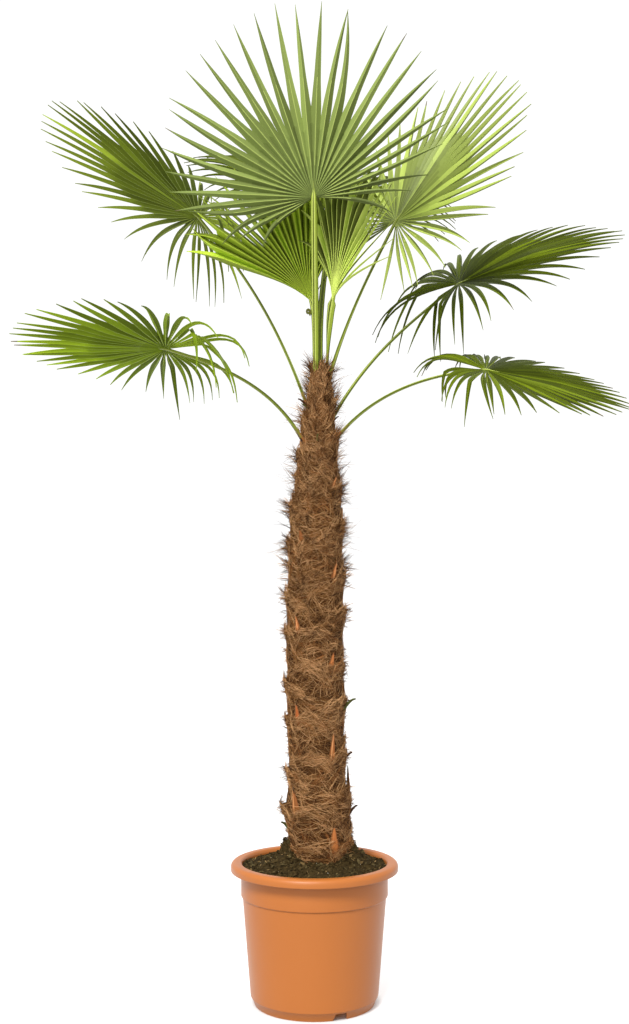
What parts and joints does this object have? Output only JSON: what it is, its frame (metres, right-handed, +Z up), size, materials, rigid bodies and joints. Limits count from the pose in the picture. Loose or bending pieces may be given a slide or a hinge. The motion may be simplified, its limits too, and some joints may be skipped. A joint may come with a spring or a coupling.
{
  "type": "potted chinese windmill palm",
  "caption": "Fan palm with one fibrous trunk, round fronds of narrow leaflets on slender stalks and a filled round pot that stands flat.",
  "frame": {"origin": "centre of the pot's flat underside", "axes": "+Z up along the pot's axis and the trunk, -Y towards the palm's front, +X to the front view's right"},
  "size_m": [1.3615, 1.1929, 2.104],
  "materials": {
    "pot_plastic": "moulded terracotta-coloured plastic with a slight sheen",
    "potting_soil": "dark granular potting soil with bark chips and a few pale grains",
    "fibre_bark": "matted brown leaf-sheath fibre with loose hairs",
    "old_leaf_base": "dry orange-brown cut leaf bases, frayed at their ends",
    "leaf_stalk": "smooth yellow-green stalk, brown and fibrous at its foot",
    "frond": "pleated green leaf blade, satin above and duller below, with brown tips"
  },
  "bodies": {
    "root": {"pot": "pot_plastic", "soil": "potting_soil", "trunk": "fibre_bark", "old_base_01": "old_leaf_base", "old_base_02": "old_leaf_base", "old_base_03": "old_leaf_base", "old_base_04": "old_leaf_base", "old_base_05": "old_leaf_base", "old_base_06": "old_leaf_base", "old_base_07": "old_leaf_base", "old_base_08": "old_leaf_base", "old_base_09": "old_leaf_base", "old_base_10": "old_leaf_base", "old_base_11": "old_leaf_base", "old_base_12": "old_leaf_base", "old_base_13": "old_leaf_base", "old_base_14": "old_leaf_base", "old_base_15": "old_leaf_base", "old_base_16": "old_leaf_base", "old_base_17": "old_leaf_base", "old_base_18": "old_leaf_base", "old_base_19": "old_leaf_base", "old_base_20": "old_leaf_base", "old_base_21": "old_leaf_base", "old_base_22": "old_leaf_base", "stalk_front_high": "leaf_stalk", "stalk_front_right": "leaf_stalk", "stalk_back_left": "leaf_stalk", "stalk_low_left": "leaf_stalk", "stalk_back_right": "leaf_stalk", "stalk_low_right": "leaf_stalk", "stalk_young_left": "leaf_stalk", "stalk_young_right": "leaf_stalk", "stalk_back_high": "leaf_stalk", "frond_front_high": "frond", "frond_front_right": "frond", "frond_back_left": "frond", "frond_low_left": "frond", "frond_back_right": "frond", "frond_low_right": "frond", "frond_young_left": "frond", "frond_young_right": "frond", "frond_back_high": "frond"}
  },
  "joints": []
}
